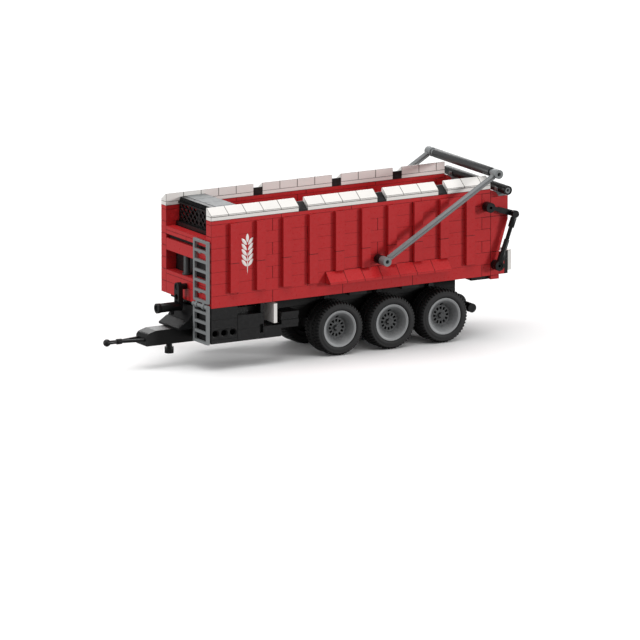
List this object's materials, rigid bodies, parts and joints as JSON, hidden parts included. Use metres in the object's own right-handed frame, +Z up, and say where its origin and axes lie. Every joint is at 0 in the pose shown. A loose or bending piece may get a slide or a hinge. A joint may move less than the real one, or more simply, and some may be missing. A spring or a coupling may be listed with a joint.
{
  "type": "toy grain trailer",
  "caption": "Brick-built toy grain cart: ribbed push-off hopper on three axles with ball drawbar, swing tarp bow, lifting tailgate, folding ladder and sliding bulkhead.",
  "frame": {"origin": "centre of the footprint on the ground, under the middle of the model", "axes": "+X forward to the hitch ball, +Y to the left, +Z up"},
  "size_m": [0.3528, 0.1116, 0.14],
  "materials": {
    "red_abs": "moulded, satin gloss",
    "white_abs": "moulded, satin gloss",
    "black_abs": "moulded, satin gloss",
    "light_grey_abs": "moulded, satin gloss",
    "mid_grey_abs": "moulded, satin gloss",
    "dark_grey_abs": "moulded, satin gloss",
    "tyre_rubber": "matt soft rubber with a block tread"
  },
  "bodies": {
    "root": {"side_wall_left": "red_abs", "side_wall_right": "red_abs", "side_ribs": "red_abs", "side_ledges": "red_abs", "cap_plates": "white_abs", "cap_slopes": "white_abs", "gap_slopes": "black_abs", "rear_cheeks": "red_abs", "front_wall": "red_abs", "front_column": "dark_grey_abs", "floor_plates": "black_abs", "floor_tiles": "red_abs", "rear_tube": "black_abs", "tube_brackets": "light_grey_abs", "rear_header": "red_abs", "chassis_rails": "black_abs", "axle_hangers": "black_abs", "rail_pins": "dark_grey_abs", "skirt_left": "black_abs", "skirt_right": "black_abs", "equipment_boxes": "black_abs", "splash_guards": "white_abs", "underrun_brackets": "black_abs", "underrun_tube": "black_abs", "drawbar_body": "black_abs", "drawbar_block": "black_abs", "tow_bars": "black_abs", "hitch_ball": "black_abs", "supply_tube": "black_abs", "supply_beam": "black_abs", "ladder_upper": "light_grey_abs", "bow_spacers": "black_abs", "ram_foot_pins": "black_abs"},
    "wheelset_front": {"wheel_axle_front": "light_grey_abs", "rims_front": "light_grey_abs", "tyres_front": "tyre_rubber"},
    "wheelset_middle": {"wheel_axle_middle": "light_grey_abs", "rims_middle": "light_grey_abs", "tyres_middle": "tyre_rubber"},
    "wheelset_rear": {"wheel_axle_rear": "light_grey_abs", "rims_rear": "light_grey_abs", "tyres_rear": "tyre_rubber"},
    "tarp_bow": {"bow_arms": "mid_grey_abs", "bow_connectors": "light_grey_abs", "bow_roller": "dark_grey_abs"},
    "tailgate": {"tailgate_panel": "red_abs", "tailgate_block": "red_abs", "lift_arms": "black_abs", "gate_bar": "black_abs", "marker_plates": "black_abs", "marker_tiles": "white_abs"},
    "barrel_left": {"ram_barrel_left": "black_abs"},
    "barrel_right": {"ram_barrel_right": "black_abs"},
    "rod_left": {"ram_rod_left": "black_abs"},
    "rod_right": {"ram_rod_right": "black_abs"},
    "bulkhead": {"push_wall": "dark_grey_abs", "push_front": "black_abs", "push_tiles": "light_grey_abs"},
    "jack": {"jack_foot": "black_abs"},
    "ladder_flap": {"ladder_lower": "light_grey_abs"}
  },
  "joints": [
    {"name": "wheels_front_spin", "type": "hinge", "parent": "root", "child": "wheelset_front", "pos_m": [-0.01858, 0, 0.0216], "axis": [0, 1, 0], "continuous": true},
    {"name": "wheels_middle_spin", "type": "hinge", "parent": "root", "child": "wheelset_middle", "pos_m": [-0.06657, 0, 0.0216], "axis": [0, 1, 0], "continuous": true},
    {"name": "wheels_rear_spin", "type": "hinge", "parent": "root", "child": "wheelset_rear", "pos_m": [-0.11457, 0, 0.0216], "axis": [0, 1, 0], "continuous": true},
    {"name": "tarp_bow_swing", "type": "hinge", "parent": "root", "child": "tarp_bow", "pos_m": [-0.05058, 0, 0.076], "axis": [0, 1, 0], "range_deg": [0, 119]},
    {"name": "tailgate_hinge", "type": "hinge", "parent": "root", "child": "tailgate", "pos_m": [-0.15057, 0, 0.108], "axis": [0, 1, 0], "range_deg": [0, 35]},
    {"name": "ram_left_pivot", "type": "hinge", "parent": "root", "child": "barrel_left", "pos_m": [-0.15857, 0.0462, 0.06], "axis": [0, 1, 0], "range_deg": [-0.5, 5.45]},
    {"name": "ram_left_stroke", "type": "slide", "parent": "barrel_left", "child": "rod_left", "axis": [-0.3425, 0, 0.9395], "range_m": [-0.0002, 0.01409]},
    {"name": "ram_right_pivot", "type": "hinge", "parent": "root", "child": "barrel_right", "pos_m": [-0.15857, -0.0462, 0.06], "axis": [0, 1, 0], "range_deg": [-0.5, 5.45]},
    {"name": "ram_right_stroke", "type": "slide", "parent": "barrel_right", "child": "rod_right", "axis": [-0.3425, 0, 0.9395], "range_m": [-0.0002, 0.01409]},
    {"name": "bulkhead_travel", "type": "slide", "parent": "root", "child": "bulkhead", "axis": [-1, 0, 0], "range_m": [0, 0.216]},
    {"name": "jack_travel", "type": "slide", "parent": "root", "child": "jack", "axis": [0, 0, -1], "range_m": [0, 0.008]},
    {"name": "ladder_fold", "type": "hinge", "parent": "root", "child": "ladder_flap", "pos_m": [0.10433, 0.0284, 0.0522], "axis": [0, -1, 0], "range_deg": [0, 150]}
  ],
  "couplings": [
    {"joint": "ram_left_pivot", "follows": "tailgate_hinge", "ratio": 0.13869},
    {"joint": "ram_left_stroke", "follows": "tailgate_hinge", "m_per_rad": 0.022574},
    {"joint": "ram_right_pivot", "follows": "tailgate_hinge", "ratio": 0.13869},
    {"joint": "ram_right_stroke", "follows": "tailgate_hinge", "m_per_rad": 0.022574}
  ]
}
